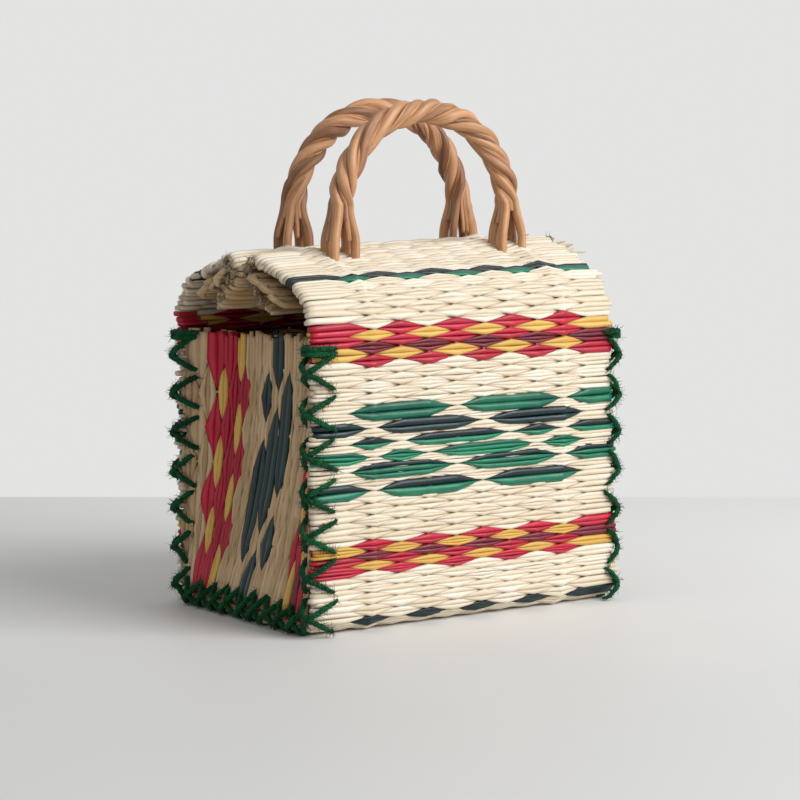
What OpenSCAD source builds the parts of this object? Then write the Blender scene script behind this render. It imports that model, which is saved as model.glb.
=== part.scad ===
// Woven reed box bag.
// One long reed mat makes the front, the base and the back, and folds over the top as two lid flaps.
// Two more mats are laced into the ends with yarn, and a twisted rod handle stands on each flap.
// X runs along the width, Y from front to back and Z up, from the ground under the middle of the base.

/* [Bag] */
// Width over the selvages of the long mat
bag_w = 220; // [190:1:260]
// Depth over the front and back walls
bag_d = 152; // [136:1:190]
// Height of the folds where the lid flaps begin
wall_h = 166; // [140:1:220]
// Radius of the mat's middle round the base corners
base_r = 14; // [10:0.5:20]
// How far the end panels are pushed in at the top
end_bow = 28; // [8:1:34]

/* [Mat] */
// Thickness of the mat between its floats
mat_t = 4.6; // [3.6:0.1:6]
// How far a reed float stands out of the mat
float_h = 1.2; // [0.6:0.1:1.6]
// Distance from one reed row to the next
row_pitch = 3.9; // [3.4:0.1:5]
// Warp cords in the long mat
warp_count = 8; // [6:2:10]
// Distance between the warp cords of the long mat
warp_pitch = 19.6; // [15:0.1:22]
// Warp cords in an end panel
end_warp_count = 5; // [3:2:5]
// Distance between the warp cords of an end panel
end_warp_pitch = 21; // [15:0.5:23]
// First row below a fold that carries the long floats of the motif
motif_row = 8; // [6:2:10]
// Rows of long floats in the motif
motif_rows = 6; // [4:1:7]

/* [Lid flaps] */
// Upright stretch of a flap above its fold
flap_leg = 6; // [3:0.5:12]
// Radius of the mat's middle where a flap bends inwards
flap_r = 30; // [22:1:36]
// Rise of a flap towards the middle, in degrees
flap_slope = 20; // [12:1:28]
// Gap between the two flaps along the middle
flap_gap = 5; // [3:0.5:12]
// Radius of the mat's middle where the free edge of a flap curls under as a hem
hem_r = 7; // [6:0.5:8]
// How far the hem curls under, in degrees
hem_turn = 180; // [120:5:190]

/* [Handles] */
// Thickness of one handle rod
rod_d = 5.6; // [4:0.1:5.8]
// Radius of the circle that the four twisted rods lie on
rope_r = 5; // [5:0.1:5.8]
// Distance between the two feet of a handle
handle_span = 122; // [100:1:140]
// Straight height of a handle before it arches
handle_leg = 16; // [12:1:36]
// Distance of each handle from the middle of the bag
handle_y = 25; // [24:0.5:29]
// How far both handles stand to the right of the middle
handle_shift = 4; // [-6:0.5:8]
// Full turns of the twist along a handle
twist_turns = 3; // [2:1:4]
// Half the spread of the rods along a foot
foot_x = 9; // [7:0.5:11]
// Half the spread of the rods across a foot
foot_y = 4.6; // [4.4:0.1:6]
// Length of the rod tails bent under the flap
tail_l = 14; // [10:0.5:18]

/* [Seam yarn] */
// Thickness of the lacing yarn
yarn_d = 2.2; // [1.4:0.1:2.6]
// Height of one crossed stitch
stitch_h = 20; // [14:0.5:26]
// How far a stitch reaches onto the wall
stitch_in = 15; // [8:0.5:20]

/* [Hidden] */

// Gap between pieces that lie against each other
seat_gap = 0.3;
// Gap between the top of a wall and the flap that folds on it
fold_gap = 0.6;
// Clearance of a handle rod in its hole
hole_gap = 0.3;
// Radius of the bend where a rod turns under the flap
tail_bend_r = 5;
// How far the yarn stops below the fold
yarn_top_drop = 5;
// Overrun of every cut
overrun = 12;
// Power of the curve across a pushed-in end panel
bow_power = 4;
// Rows from one row of long floats to the next
motif_step = 3;
// Warps from one long float to the next in its row
motif_repeat = 4;
// Share of a handle's length at each foot where its rods splay
splay_share = 0.1;
// Rings along one twisted rod
rod_rings = 29;
// Faces round a rod and round the yarn
rod_sides = 6;
yarn_sides = 5;

rods_per_handle = 4;
phase_step = 360 / rods_per_handle;
first_phase = phase_step / 2;

mat_full = mat_t + 2 * float_h;
wall_y = (bag_d - mat_full) / 2;
base_z = mat_full / 2;
wall_top = wall_h - fold_gap / 2;
rod_r = rod_d / 2;
yarn_r = yarn_d / 2;
handle_r = handle_span / 2;

// Small vector helpers.
function unit(v) = v / norm(v);
function clamp01(t) = min(1, max(0, t));
function smooth(t) = t * t * (3 - 2 * t);
function odd_count(length) = 2 * floor(length / row_pitch / 2) + 1;

// Distances of a sheet's grid lines along its length: its two edges, and the middle of each row between.
function row_lines(length, rows) = [
    0,
    for (i = [0 : rows - 1]) (i + 0.5) * length / rows,
    length,
];

// Places of the grid lines across the long mat: its two selvages, and the warp cords between.
function warp_lines() = [
    -bag_w / 2,
    for (j = [0 : warp_count - 1]) (j - (warp_count - 1) / 2) * warp_pitch,
    bag_w / 2,
];

// Plain weave: a row passes over every second warp, and its neighbours over the others.
function plain_over(row, warp) = (row + warp) % 2 == 0;

// A motif row also passes over warps between, in a diagonal, so that its floats span three warps.
function motif_over(row, warp, warps) =
    let (m = (row - motif_row) / motif_step)
    row >= motif_row && m < motif_rows && m == floor(m)
    && warp > 0 && warp < warps - 1 && (warp - 1 - m) % motif_repeat == 0;

function lift(row, warp, warps) =
    (plain_over(row, warp) || motif_over(row, warp, warps) ? 1 : -1) * float_h;

// A woven sheet from a grid of [point, outward normal] and the lift of its surface at each grid point.
// Each quad is split so that every float stands as a long diamond on the face that it shows on.
module woven_sheet(grid, lifts) {
    a_max = len(grid) - 1;
    b_max = len(grid[0]) - 1;
    cols = b_max + 1;
    inner = (a_max + 1) * cols;
    points = [
        for (a = [0 : a_max], b = [0 : b_max]) grid[a][b][0] + grid[a][b][1] * (mat_t / 2 + lifts[a][b]),
        for (a = [0 : a_max], b = [0 : b_max]) grid[a][b][0] - grid[a][b][1] * (mat_t / 2 - lifts[a][b]),
    ];
    rim = [
        for (a = [0 : 1 : a_max - 1]) a * cols,
        for (b = [0 : 1 : b_max - 1]) a_max * cols + b,
        for (a = [a_max : -1 : 1]) a * cols + b_max,
        for (b = [b_max : -1 : 1]) b,
    ];
    faces = [
        for (a = [0 : a_max - 1], b = [0 : b_max - 1])
            let (
                p = a * cols + b,
                q = p + cols,
                falls = lifts[a][b] + lifts[a + 1][b + 1] <= lifts[a + 1][b] + lifts[a][b + 1],
                o = inner
            )
            each falls
                ? [[p, p + 1, q + 1], [p, q + 1, q], [o + p, o + q, o + p + 1], [o + q, o + q + 1, o + p + 1]]
                : [[p, p + 1, q], [p + 1, q + 1, q], [o + p, o + q, o + q + 1], [o + p, o + q + 1, o + p + 1]],
        for (i = [0 : len(rim) - 1])
            let (p = rim[i], q = rim[(i + 1) % len(rim)])
            each [[p, q, q + inner], [p, q + inner, p + inner]],
    ];
    polyhedron(points = points, faces = faces, convexity = 10);
}

// A tube of the given radius along a list of points. Each ring has a side direction to hang its corners on.
module tube(path, sides_to, r, sides) {
    last = len(path) - 1;
    rings = [
        for (i = [0 : last])
            let (
                along = unit(path[min(i + 1, last)] - path[max(i - 1, 0)]),
                u = unit(cross(along, sides_to[i])),
                v = cross(u, along)
            )
            each [for (k = [0 : sides - 1]) path[i] + r * (cos(360 * k / sides) * u + sin(360 * k / sides) * v)]
    ];
    faces = [
        [for (k = [sides - 1 : -1 : 0]) k],
        for (i = [0 : last - 1], k = [0 : sides - 1])
            let (p = i * sides + k, q = i * sides + (k + 1) % sides)
            each [[p, q, q + sides], [p, q + sides, p + sides]],
        [for (k = [0 : sides - 1]) last * sides + k],
    ];
    polyhedron(points = rings, faces = faces, convexity = 10);
}

// The long mat: front wall, base and back wall.
body_leg = wall_top - base_z - base_r;
body_arc = base_r * PI / 2;
body_flat = 2 * (wall_y - base_r);
body_l = 2 * (body_leg + body_arc) + body_flat;

// Middle and outward normal, as [y, z, ny, nz], a distance s down the front wall and along the base.
function front_half(s) =
    s <= body_leg ? [-wall_y, wall_top - s, -1, 0]
    : s <= body_leg + body_arc
        ? let (a = (s - body_leg) / base_r * 180 / PI)
          [-wall_y + base_r * (1 - cos(a)), base_z + base_r * (1 - sin(a)), -cos(a), -sin(a)]
    : [-wall_y + base_r + s - body_leg - body_arc, base_z, 0, -1];

function body_at(s) =
    s <= body_l / 2 ? front_half(s)
    : let (m = front_half(body_l - s)) [-m[0], m[1], -m[2], m[3]];

// Grid and lifts of a mat that keeps its section along X.
function straight_grid(sections) = [
    for (m = sections) [for (x = warp_lines()) [[x, m[0], m[1]], [0, m[2], m[3]]]]
];
function straight_lifts(rows) = [
    [for (b = [0 : warp_count + 1]) 0],
    for (row = rows) [for (b = [0 : warp_count + 1]) lift(row, b - 1, warp_count)],
    [for (b = [0 : warp_count + 1]) 0],
];

module body_mat() {
    rows = odd_count(body_l);
    color("wheat")
        woven_sheet(
            straight_grid([for (s = row_lines(body_l, rows)) body_at(s)]),
            straight_lifts([for (i = [0 : rows - 1]) min(i, rows - 1 - i)])
        );
}

// The lid flaps. Each bends inwards, rises straight to the middle and curls under.
flap_turn = 90 - flap_slope;
flap_arc = flap_r * flap_turn * PI / 180;
flap_foot_z = wall_h + fold_gap / 2;
flap_knee_y = -wall_y + flap_r * (1 - cos(flap_turn));
flap_knee_z = flap_foot_z + flap_leg + flap_r * sin(flap_turn);
flap_end_y = -(flap_gap + mat_full) / 2 - hem_r * (1 + sin(flap_slope));
flap_flat = (flap_end_y - flap_knee_y) / cos(flap_slope);
hem_s = flap_leg + flap_arc + flap_flat;
hem_y = flap_end_y + hem_r * sin(flap_slope);
hem_z = flap_z(flap_end_y) - hem_r * cos(flap_slope);
flap_l = hem_s + hem_r * hem_turn * PI / 180;

// Middle and outward normal of the front flap, a distance s from its fold.
function flap_at(s) =
    s <= flap_leg ? [-wall_y, flap_foot_z + s, -1, 0]
    : s <= flap_leg + flap_arc
        ? let (a = (s - flap_leg) / flap_r * 180 / PI)
          [-wall_y + flap_r * (1 - cos(a)), flap_foot_z + flap_leg + flap_r * sin(a), -cos(a), sin(a)]
    : s <= hem_s
        ? let (d = s - flap_leg - flap_arc)
          [flap_knee_y + d * cos(flap_slope), flap_knee_z + d * sin(flap_slope), -sin(flap_slope), cos(flap_slope)]
    : let (a = flap_slope - (s - hem_s) / hem_r * 180 / PI)
      [hem_y - hem_r * sin(a), hem_z + hem_r * cos(a), -sin(a), cos(a)];

// Height of the middle of a flap on its straight rise.
function flap_z(y) = flap_knee_z + (y - flap_knee_y) * tan(flap_slope);

module flap_mat() {
    rows = odd_count(flap_l);
    woven_sheet(
        straight_grid([for (s = row_lines(flap_l, rows)) flap_at(flap_l - s)]),
        straight_lifts([for (i = [0 : rows - 1]) i - rows])
    );
}

// One lid flap, with a hole for each rod of its handle.
module front_flap() {
    color("wheat")
        difference() {
            flap_mat();
            for (rod = [0 : rods_per_handle - 1], side = [-1, 1]) {
                foot = rod_foot(rod, side);
                translate([foot[0], foot[1], foot[2] - mat_full - overrun / 2])
                    cylinder(r = rod_r + hole_gap, h = 2 * mat_full + overrun, $fn = 32);
            }
        }
}

module back_flap() {
    color("wheat") mirror([0, 1, 0]) front_flap();
}

// The end panels, pushed in more towards the top.
end_half = bag_d / 2 - mat_full - seat_gap;
end_x = -bag_w / 2 + mat_full / 2;
end_top = wall_h - fold_gap;
end_floor = mat_full + seat_gap;
corner_y = wall_y - base_r;
corner_z = base_z + base_r;
corner_r = base_r - mat_full / 2 - seat_gap;
end_mid_z = (end_floor + end_top) / 2;

// Lower end of a reed in an end panel: on the base, or on the round of its corner.
function end_foot(y) =
    let (d = min(abs(y) - corner_y, corner_r))
    d <= 0 ? end_floor : corner_z - sqrt(corner_r * corner_r - d * d);

function bow_across(y) = 1 - pow(abs(y) / end_half, bow_power);
function bow_up(z) = let (t = clamp01((z - end_floor) / (end_top - end_floor))) 1 - (1 - t) * (1 - t);
function bow(y, z) = end_bow * bow_across(y) * bow_up(z);

// Outward normal of the left panel. It turns square to the panel's edge at the seams.
function end_normal(y, z) =
    let (
        t = clamp01((z - end_floor) / (end_top - end_floor)),
        steep = -sign(y) * end_bow * bow_up(z) * bow_power * pow(abs(y) / end_half, bow_power - 1) / end_half,
        lean = end_bow * bow_across(y) * 2 * (1 - t) / (end_top - end_floor),
        free = bow_across(y) * clamp01((end_top - z) / row_pitch) * clamp01((z - end_foot(y)) / row_pitch)
    )
    unit([-1, steep * bow_across(y), lean * free]);

function end_levels(y) = [
    end_foot(y),
    for (j = [0 : end_warp_count - 1]) end_mid_z + (j - (end_warp_count - 1) / 2) * end_warp_pitch,
    end_top,
];

module left_end_panel() {
    rows = odd_count(2 * end_half);
    ys = [for (s = row_lines(2 * end_half, rows)) end_half - s];
    edge = [for (b = [0 : end_warp_count + 1]) 0];
    color("wheat")
        woven_sheet(
            [for (y = ys) [for (z = end_levels(y)) [[end_x + bow(y, z), y, z], end_normal(y, z)]]],
            [
                edge,
                for (row = [0 : rows - 1])
                    [for (b = [0 : end_warp_count + 1]) lift(row, b - 1, end_warp_count)],
                edge,
            ]
        );
}

module right_end_panel() {
    color("wheat") mirror([1, 0, 0]) left_end_panel();
}

// The handles: four rods twisted round each other, which splay at each foot and pass through the flap.
rope_l = 2 * handle_leg + PI * handle_r;
sole_z = flap_z(-handle_y + foot_y) + mat_full;

function rod_phase(rod) = first_phase + rod * phase_step;
function rod_foot(rod, side) =
    let (y = -handle_y + foot_y * sign(sin(rod_phase(rod))))
    [handle_shift + side * (handle_r + foot_x * sign(cos(rod_phase(rod)))), y, flap_z(y)];

// Middle of the arch and its outward direction, as [x, z, nx, nz], at a share u of its length.
function arch(u) =
    let (d = u * rope_l, a = clamp01((d - handle_leg) / (PI * handle_r)) * 180)
    [
        -handle_r * cos(a),
        sole_z + min(d, handle_leg, rope_l - d) + handle_r * sin(a),
        -cos(a),
        sin(a),
    ];

function rod_at(rod, u) =
    let (
        m = arch(u),
        turn = rod_phase(rod) + 360 * twist_turns * clamp01((u - splay_share) / (1 - 2 * splay_share)),
        open = smooth(1 - clamp01(min(u, 1 - u) / splay_share)),
        out = (rope_r + (foot_x * sqrt(2) - rope_r) * open) * cos(turn),
        across = (rope_r + (foot_y * sqrt(2) - rope_r) * open) * sin(turn)
    )
    [handle_shift + m[0] + out * m[2], -handle_y + across, m[1] + out * m[3]];

// The end of a rod below the flap: down through its hole, round a bend and along the underside.
function rod_tail(rod, side) =
    let (
        foot = rod_foot(rod, side),
        away = side * sign(cos(rod_phase(rod))),
        drop = (mat_full / 2 + rod_r + seat_gap) / cos(flap_slope),
        low = foot[2] - drop - tail_bend_r * (1 - cos(45))
    )
    [
        [foot[0] + away * tail_l, foot[1], low],
        [foot[0] + away * tail_bend_r, foot[1], low],
        [foot[0] + away * tail_bend_r * (1 - cos(45)), foot[1], low + tail_bend_r * (1 - sin(45))],
        [foot[0], foot[1], low + tail_bend_r],
    ];

module front_rod(rod) {
    path = [
        each rod_tail(rod, -1),
        for (i = [0 : rod_rings - 1]) rod_at(rod, i / (rod_rings - 1)),
        each [for (i = [3 : -1 : 0]) rod_tail(rod, 1)[i]],
    ];
    color("peru") tube(path, [for (p = path) [0, 1, 0]], rod_r, rod_sides);
}

module back_rod(rod) {
    mirror([0, 1, 0]) front_rod(rod);
}

// The seam yarn: two zigzags cross over each edge of an end panel.
yarn_off = yarn_r + seat_gap;
yarn_low = 2 * yarn_off;
seam_top = wall_h - yarn_top_drop;
wall_stitches = floor((seam_top - yarn_low) / stitch_h);
wall_stitch_h = (seam_top - yarn_low) / wall_stitches;
base_seam_y = bag_d / 2 - mat_full;
base_stitches = floor(2 * base_seam_y / stitch_h);
base_stitch_l = 2 * base_seam_y / base_stitches;

// A zigzag between two edges, one step at a time, round a corner that lies between them.
function lace(steps, first, start, middle, end, out) = [
    for (i = [0 : steps])
        each concat(
            [(i + first) % 2 == 0 ? start(i) : end(i)],
            i < steps ? [middle(i + 0.5) + out] : []
        )
];
function lace_sides(count, first, start, middle, end) = [
    for (i = [0 : count - 1]) i % 2 == 1 ? middle : (i / 2 + first) % 2 == 0 ? start : end
];

// The lacing of the front edge of the left panel. The second zigzag lies over the first.
module wall_lace(first) {
    over = first * (yarn_d + seat_gap);
    path = lace(
        wall_stitches,
        first,
        function (i) [-bag_w / 2 + stitch_in, -bag_d / 2 - yarn_off, yarn_low + i * wall_stitch_h],
        function (i) [-bag_w / 2 - yarn_off, -bag_d / 2 - yarn_off, yarn_low + i * wall_stitch_h],
        function (i) [-bag_w / 2 - yarn_off, -bag_d / 2 + mat_full, yarn_low + i * wall_stitch_h],
        [-over, -over, 0]
    );
    tube(path, lace_sides(len(path), first, [0, -1, 0], [-1, -1, 0], [-1, 0, 0]), yarn_r, yarn_sides);
}

// The lacing of the lower edge of the left panel.
module base_lace(first) {
    over = yarn_off + first * (yarn_d + seat_gap);
    low = yarn_low;
    high = mat_full + yarn_d;
    path = lace(
        base_stitches,
        first,
        function (i) [-bag_w / 2 - yarn_off, -base_seam_y + i * base_stitch_l, low],
        function (i) [-bag_w / 2, -base_seam_y + i * base_stitch_l, (low + high) / 2],
        function (i) [-bag_w / 2 - yarn_off, -base_seam_y + i * base_stitch_l, high],
        [-over, 0, 0]
    );
    tube(path, lace_sides(len(path), first, [-1, 0, 0], [-1, 0, 0], [-1, 0, 0]), yarn_r, yarn_sides);
}

module left_seam_yarn() {
    color("darkgreen")
        for (first = [0, 1]) {
            wall_lace(first);
            mirror([0, 1, 0]) wall_lace(first);
            base_lace(first);
        }
}

module right_seam_yarn() {
    mirror([1, 0, 0]) left_seam_yarn();
}

body_mat();
front_flap();
back_flap();
left_end_panel();
right_end_panel();
left_seam_yarn();
right_seam_yarn();
for (rod = [0 : rods_per_handle - 1]) {
    front_rod(rod);
    back_rod(rod);
}
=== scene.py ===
import math

import bpy
import numpy as np
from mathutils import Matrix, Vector


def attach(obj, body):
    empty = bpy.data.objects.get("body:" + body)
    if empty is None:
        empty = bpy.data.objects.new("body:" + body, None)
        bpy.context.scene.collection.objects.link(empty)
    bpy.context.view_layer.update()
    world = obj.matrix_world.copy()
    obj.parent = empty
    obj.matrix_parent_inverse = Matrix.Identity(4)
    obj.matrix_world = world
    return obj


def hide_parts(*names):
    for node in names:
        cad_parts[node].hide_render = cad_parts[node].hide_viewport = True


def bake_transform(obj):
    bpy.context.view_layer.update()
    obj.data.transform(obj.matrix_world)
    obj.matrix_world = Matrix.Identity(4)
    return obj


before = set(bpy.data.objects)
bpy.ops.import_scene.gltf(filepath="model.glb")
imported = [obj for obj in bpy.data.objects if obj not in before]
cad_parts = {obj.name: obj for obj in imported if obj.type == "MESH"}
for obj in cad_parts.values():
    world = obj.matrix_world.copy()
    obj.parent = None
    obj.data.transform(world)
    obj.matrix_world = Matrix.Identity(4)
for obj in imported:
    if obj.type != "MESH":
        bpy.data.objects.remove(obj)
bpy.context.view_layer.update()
scene = bpy.context.scene
scene.view_settings.view_transform = "Standard"
mm = 0.001
print("frame loaded:", sorted(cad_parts))


# camera, as in the photo
view = {
    "eye": (-0.9346, -1.3238, 0.2938),
    "target": (0.00203, -0.00144, 0.12256),
    "lens": 121.5,
    "sensor": 36,
}

eye, target = Vector(view["eye"]), Vector(view["target"])
lensData = bpy.data.cameras.new("photoCamera")
lensData.lens, lensData.sensor_width = view["lens"], view["sensor"]
camera = bpy.data.objects.new("photoCamera", lensData)
camera.location = eye
camera.rotation_euler = (target - eye).to_track_quat("-Z", "Y").to_euler()
scene.collection.objects.link(camera)
scene.camera = camera
print("camera set")


# shader maths as expressions
class Wire:
    def __init__(self, tree, socket=None):
        self.tree, self.socket = tree, socket

    def node(self, kind, settings=None, inputs=None, out=0):
        made = self.tree.nodes.new("ShaderNode" + kind)
        for key, value in (settings or {}).items():
            setattr(made, key, value)
        for key, value in (inputs or {}).items():
            if isinstance(value, Wire):
                self.tree.links.new(value.socket, made.inputs[key])
            else:
                made.inputs[key].default_value = value
        return Wire(self.tree, made.outputs[out])

    def maths(self, operation, first, second):
        return self.node("Math", {"operation": operation}, {0: first, 1: second})

    def __add__(self, other):
        return self.maths("ADD", self, other)

    def __radd__(self, other):
        return self.maths("ADD", other, self)

    def __sub__(self, other):
        return self.maths("SUBTRACT", self, other)

    def __rsub__(self, other):
        return self.maths("SUBTRACT", other, self)

    def __rmul__(self, other):
        return self.maths("MULTIPLY", other, self)

    def between(self, low, high):
        return self.node("MapRange", {"interpolation_type": "SMOOTHSTEP"}, {0: self, 1: low, 2: high})

    def mix(self, first, second):
        return self.node("Mix", {"data_type": "RGBA"}, {0: self, 6: first, 7: second}, 2)


def rgb(colour):
    return (*colour, 1)


def newFinish(name):
    material = bpy.data.materials.new(name)
    material.use_nodes = True
    tree = material.node_tree
    return material, tree, Wire(tree), tree.nodes["Principled BSDF"]


def plug(tree, shader, **sockets):
    for name, value in sockets.items():
        socket = shader.inputs[name.replace("_", " ")]
        if isinstance(value, Wire):
            tree.links.new(value.socket, socket)
        else:
            socket.default_value = value


# stem finishes: streaks run along each stem on its own map, the tone changes from stem to stem
stemFinishes = {
    "naturalReed": {"light": (0.86, 0.79, 0.66), "dark": (0.72, 0.60, 0.43), "spot": (0.26, 0.15, 0.07),
                    "rough": 0.34, "spotFrom": 0.74, "coat": 0.15, "shine": 0.45},
    # browner and darker copy of the natural reed for the end panels and hem rolls: partly browner reed,
    # partly painted shade
    "brownShadedReed": {"light": (0.73, 0.55, 0.34), "dark": (0.44, 0.29, 0.14), "spot": (0.20, 0.11, 0.05),
                  "rough": 0.36, "spotFrom": 0.70, "coat": 0.1},
    "redReed": {"light": (0.60, 0.014, 0.050), "dark": (0.36, 0.005, 0.022), "spot": (0.10, 0.003, 0.008),
                "rough": 0.30, "spotFrom": 0.76, "coat": 0.25},
    "darkRedReed": {"light": (0.22, 0.008, 0.026), "dark": (0.10, 0.004, 0.013), "spot": (0.03, 0.002, 0.006),
                    "rough": 0.30, "spotFrom": 0.76, "coat": 0.25},
    "yellowReed": {"light": (0.82, 0.55, 0.15), "dark": (0.62, 0.35, 0.06), "spot": (0.28, 0.12, 0.02),
                   "rough": 0.32, "spotFrom": 0.74, "coat": 0.2},
    "greenReed": {"light": (0.001, 0.25, 0.115), "dark": (0.001, 0.065, 0.045), "spot": (0.002, 0.020, 0.020),
                  "rough": 0.18, "spotFrom": 0.66, "coat": 0.2},
    "tealReed": {"light": (0.002, 0.030, 0.032), "dark": (0.001, 0.007, 0.011), "spot": (0.002, 0.006, 0.009),
                 "rough": 0.18, "spotFrom": 0.68, "coat": 0.2},
}


def stemFinish(name, look):
    material, tree, wire, shader = newFinish(name)
    tone = wire.node("Attribute", {"attribute_name": "stemTone"}, out=2)
    depth = wire.node("Attribute", {"attribute_name": "stemPaintedLight"}, out=2)
    stemMap = wire.node("UVMap", {"uv_map": "stemMap"})
    long = wire.node("Mapping", None, {0: stemMap, 3: (18, 9, 1)})
    fine = wire.node("Mapping", None, {0: stemMap, 3: (30, 30, 1)})
    streak = wire.node("TexNoise", None, {0: long, 2: 1.6, 3: 4})
    fibre = wire.node("TexNoise", None, {0: fine, 2: 2.2, 3: 3})
    body = wire.node("TexCoord", out=3)
    cloud = wire.node("TexNoise", None, {0: body, 2: 70, 3: 2})
    light = (0.42 * tone + 0.55 * streak + 0.45 * cloud - 0.22).between(0.15, 0.85)
    colour = light.mix(rgb(look["dark"]), rgb(look["light"]))
    spots = (0.75 * cloud + 0.40 * fibre - 0.05).between(look["spotFrom"], look["spotFrom"] + 0.16)
    colour = (0.45 * spots).mix(colour, rgb(look["spot"]))
    # painted shade: stems are painted darker, towards the speck colour, where they dive under a warp, where
    # they turn back round the edge and on the inside of the mat
    colour = (0.55 * (1 - depth)).mix(colour, rgb(look["spot"]))
    bump = wire.node("Bump", None, {"Strength": 0.35, "Distance": 0.0003, "Height": fibre + 0.6 * streak})
    plug(tree, shader, Base_Color=colour, Roughness=look["rough"] + 0.22 * streak, Normal=bump)
    shader.inputs["Specular IOR Level"].default_value = look.get("shine", 0.32)
    shader.inputs["Coat Weight"].default_value = look["coat"]
    shader.inputs["Coat Roughness"].default_value = 0.2
    return material


stems = {name: stemFinish(name, look) for name, look in stemFinishes.items()}
stemOrder = list(stems)
print("stem finishes:", len(stems))


floorGap = 0.15   # mm


# one sheaf collects the tubes of a piece
class Sheaf:
    def __init__(self):
        self.verts, self.quads, self.maps = [], [], []
        self.tones, self.depths, self.slots, self.count = [], [], [], 0

    def tube(self, rings, slot, tone, depth, along, mapShift=(0, 0)):
        m, k = rings.shape[:2]
        self.verts.append(rings.reshape(-1, 3))
        i, j = np.meshgrid(np.arange(m - 1), np.arange(k), indexing="ij")
        n = (j + 1) % k
        side = np.stack([i * k + j, i * k + n, (i + 1) * k + n, (i + 1) * k + j], -1).reshape(-1, 4)
        last = (m - 1) * k
        caps = []
        for a in range(1, k - 2, 2):
            caps.append([0, a + 2, a + 1, a])
            caps.append([last, last + a, last + a + 1, last + a + 2])
        quads = np.concatenate([side, np.array(caps)])
        u = along[:, None] + mapShift[0]
        v = np.arange(k + 1)[None, :] / k + mapShift[1]
        grid = np.stack(np.broadcast_arrays(u, v), -1)
        around = [grid[i, j], grid[i, j + 1], grid[i + 1, j + 1], grid[i + 1, j]]
        sideMap = np.stack(around, -2).reshape(-1, 4, 2)
        capMap = np.zeros((len(caps), 4, 2)) + grid[0, 0]
        self.quads.append(quads + self.count)
        self.maps.append(np.concatenate([sideMap, capMap]))
        self.tones.append(np.full(m * k, tone))
        self.depths.append(np.repeat(depth, k) if np.ndim(depth) else np.full(m * k, depth))
        self.slots.append(np.full(len(quads), slot))
        self.count += m * k

    def piece(self, name, materials, mirror=None):
        verts, quads, maps = map(np.concatenate, (self.verts, self.quads, self.maps))
        if mirror is not None:
            verts = verts.copy()
            verts[:, mirror] *= -1
            quads, maps = quads[:, ::-1], maps[:, ::-1]
        verts[:, 2] = np.maximum(verts[:, 2], floorGap)   # nothing reaches under the floor
        mesh = bpy.data.meshes.new(name)
        mesh.vertices.add(len(verts))
        mesh.vertices.foreach_set("co", (verts * mm).astype(np.float32).ravel())
        mesh.loops.add(quads.size)
        mesh.loops.foreach_set("vertex_index", np.ascontiguousarray(quads, np.int32).ravel())
        mesh.polygons.add(len(quads))
        mesh.polygons.foreach_set("loop_start", np.arange(0, quads.size, 4, dtype=np.int32))
        mesh.polygons.foreach_set("material_index", np.concatenate(self.slots).astype(np.int32))
        mesh.polygons.foreach_set("use_smooth", np.ones(len(quads), bool))
        mesh.update(calc_edges=True)
        stemMap = mesh.uv_layers.new(name="stemMap")
        stemMap.data.foreach_set("uv", np.ascontiguousarray(maps, np.float32).ravel())
        for label, values in (("stemTone", self.tones), ("stemPaintedLight", self.depths)):
            attribute = mesh.attributes.new(label, "FLOAT", "POINT")
            attribute.data.foreach_set("value", np.concatenate(values).astype(np.float32))
        for material in materials:
            mesh.materials.append(material)
        made = bpy.data.objects.new(name, mesh)
        scene.collection.objects.link(made)
        print("piece", name, "faces", len(quads))
        return made


# section of the long mat: s runs down the wall from the fold, and below 0 up the flap to its rolled hem
mat = {
    "halfWidth": 110.0,
    "left": -108.6,
    "right": 110.5,
    "rightTaper": 5.5,  # the right edge draws in by this much up to the fold
    "taperTop": 170,
    "wallY": 72.5,
    "foldZ": 166.0,
    "baseZ": 3.5,
    "baseR": 14.0,
    "flapLeg": 6.0,
    "flapR": 30.0,
    "flapTurn": math.radians(70),
    "hemStart": 82.4,
    "hemR": 7.0,
    "hemTurn": math.radians(155),
    "flapLength": 127.3,
    "flapLift": 2.5,   # the right end of a flap stands this much higher
    "warps": [(j - 3.5) * 19.7 for j in range(8)],
    "belly": 0.8,      # the mat stands out this far between its outer warps
    "faceN": 1.45,     # middle of a stem where it floats over a warp
    "tipN": -0.6,      # and where it dives under one
    "ringStep": 3.6,
    "motifBold": 1.42,
    "loose": 0.35,
    "ragged": 1.0,
    "flapRagged": 2.2,
}


def matSection(s):
    leg = mat["foldZ"] - mat["baseZ"] - mat["baseR"]
    arc = mat["baseR"] * math.pi / 2
    a = np.clip((s - leg) / mat["baseR"], 0, math.pi / 2)
    y = -mat["wallY"] + mat["baseR"] * (1 - np.cos(a)) + np.maximum(s - leg - arc, 0)
    z = mat["foldZ"] - np.clip(s, 0, leg) - mat["baseR"] * np.sin(a)
    full, hemR, hemTurn = mat["flapTurn"], mat["hemR"], mat["hemTurn"]
    knee = mat["flapLeg"] + mat["flapR"] * full
    d = np.maximum(-s, 0)
    bend = np.clip((d - mat["flapLeg"]) / mat["flapR"], 0, full)
    rest = np.clip(d - knee, 0, mat["hemStart"] - knee)
    curl = np.clip((d - mat["hemStart"]) / hemR, 0, hemTurn)
    under = np.maximum(d - mat["hemStart"] - hemR * hemTurn, 0)
    inward = mat["flapR"] * (1 - np.cos(bend)) + rest * math.sin(full)
    inward = inward + hemR * (math.cos(full) - np.cos(full + curl)) + under * math.sin(full + hemTurn)
    rise = np.minimum(d, mat["flapLeg"]) + mat["flapR"] * np.sin(bend) + rest * math.cos(full)
    rise = rise + hemR * (np.sin(full + curl) - math.sin(full)) + under * math.cos(full + hemTurn)
    turn = bend + curl
    up = s < 0
    y, z = np.where(up, inward - mat["wallY"], y), np.where(up, mat["foldZ"] + rise, z)
    return y, z, np.where(up, -np.cos(turn), -np.cos(a)), np.where(up, np.sin(turn), -np.sin(a))


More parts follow.
